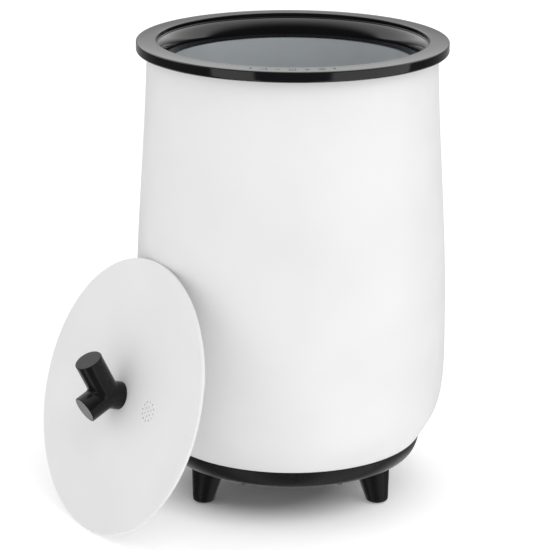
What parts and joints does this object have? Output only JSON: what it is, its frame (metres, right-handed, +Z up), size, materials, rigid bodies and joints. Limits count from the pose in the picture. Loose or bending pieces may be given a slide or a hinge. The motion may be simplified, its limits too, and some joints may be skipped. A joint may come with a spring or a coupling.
{
  "type": "paraffin wax bath",
  "caption": "Tall round heated wax bath: white barrel, glossy black collar, grey pot, tripod feet, and a loose round lid with a forked knob.",
  "frame": {"origin": "on the barrel's axis, in the plane of the table under the feet", "axes": "+Z up along the barrel's axis, -Y to the front with the touch controls, +X to the right seen from the front"},
  "size_m": [0.4139, 0.3865, 0.4714],
  "materials": {
    "shell_white": "satin, fine moulded grain",
    "lid_white": "satin, fine moulded grain",
    "collar_gloss": "polished black with a printed pale grey touch legend",
    "base_black": "satin black moulding",
    "foot_black": "satin black moulding",
    "knob_black": "satin black with glossy cut edges",
    "pot_aluminium": "grey hard-anodised, fine circumferential grain",
    "pad_rubber": "matte",
    "silicone_black": "matte",
    "zinc_steel": "zinc plated",
    "screw_steel": "zinc plated",
    "screw_black": "black phosphate",
    "heating_mat": "matte silicone",
    "heating_plate": "matte",
    "cutout_ceramic": "matte",
    "glass_wool": "fibrous",
    "circuit_board": "solder mask",
    "ribbon_film": "flat film",
    "terminal_plastic": "matte",
    "terminal_brass": "machined",
    "transformer_core": "varnished",
    "relay_blue": "matte",
    "capacitor_sleeve": "heat-shrink sleeve",
    "wire_brown": "insulation",
    "wire_red": "insulation",
    "wire_white": "insulation",
    "wire_green": "insulation",
    "grate_steel": "perforated stainless sheet",
    "grate_rubber": "matte silicone"
  },
  "bodies": {
    "housing": {"outer_shell": "shell_white", "top_collar": "collar_gloss", "rim_channel_cover": "base_black", "touch_board": "circuit_board", "touch_ribbon": "ribbon_film", "inner_pot": "pot_aluminium", "pot_gasket": "silicone_black", "clamp_ring": "zinc_steel", "collar_screws": "screw_steel", "hanger_straps": "zinc_steel", "strap_screws": "screw_steel", "wall_heater": "heating_mat", "heater_bands": "zinc_steel", "band_screws": "screw_steel", "base_heater": "heating_plate", "thermal_cutout": "cutout_ceramic", "cutout_bracket": "zinc_steel", "temperature_sensor": "screw_steel", "insulation_wrap": "glass_wool", "insulation_disc": "glass_wool", "heat_shield": "zinc_steel", "shield_screws": "screw_steel", "base_pan": "base_black", "base_screws": "screw_black", "foot_front_left": "foot_black", "foot_front_right": "foot_black", "foot_back": "foot_black", "pad_front_left": "pad_rubber", "pad_front_right": "pad_rubber", "pad_back": "pad_rubber", "foot_screws": "screw_steel", "cord_gland": "base_black", "gland_nut": "base_black", "terminal_block": "terminal_plastic", "terminal_screws": "terminal_brass", "control_board": "circuit_board", "board_screws": "screw_steel", "transformer": "transformer_core", "relay": "relay_blue", "filter_capacitors": "capacitor_sleeve", "board_connectors": "terminal_plastic", "power_leads": "wire_brown", "heater_leads": "wire_red", "sensor_lead": "wire_white", "earth_lead": "wire_green"},
    "lid": {"lid_plate": "lid_white", "lid_knob": "knob_black", "knob_washer": "screw_steel", "knob_screw": "screw_steel"},
    "grate": {"floor_grate": "grate_steel", "grate_feet": "grate_rubber"}
  },
  "joints": [
    {"name": "lid_lift", "type": "slide", "parent": "housing", "child": "lid", "axis": [-0.7843, -0.537, 0.3107], "range_m": [0, 0.3]},
    {"name": "grate_lift", "type": "slide", "parent": "housing", "child": "grate", "axis": [0, 0, 1], "range_m": [0, 0.4]}
  ]
}
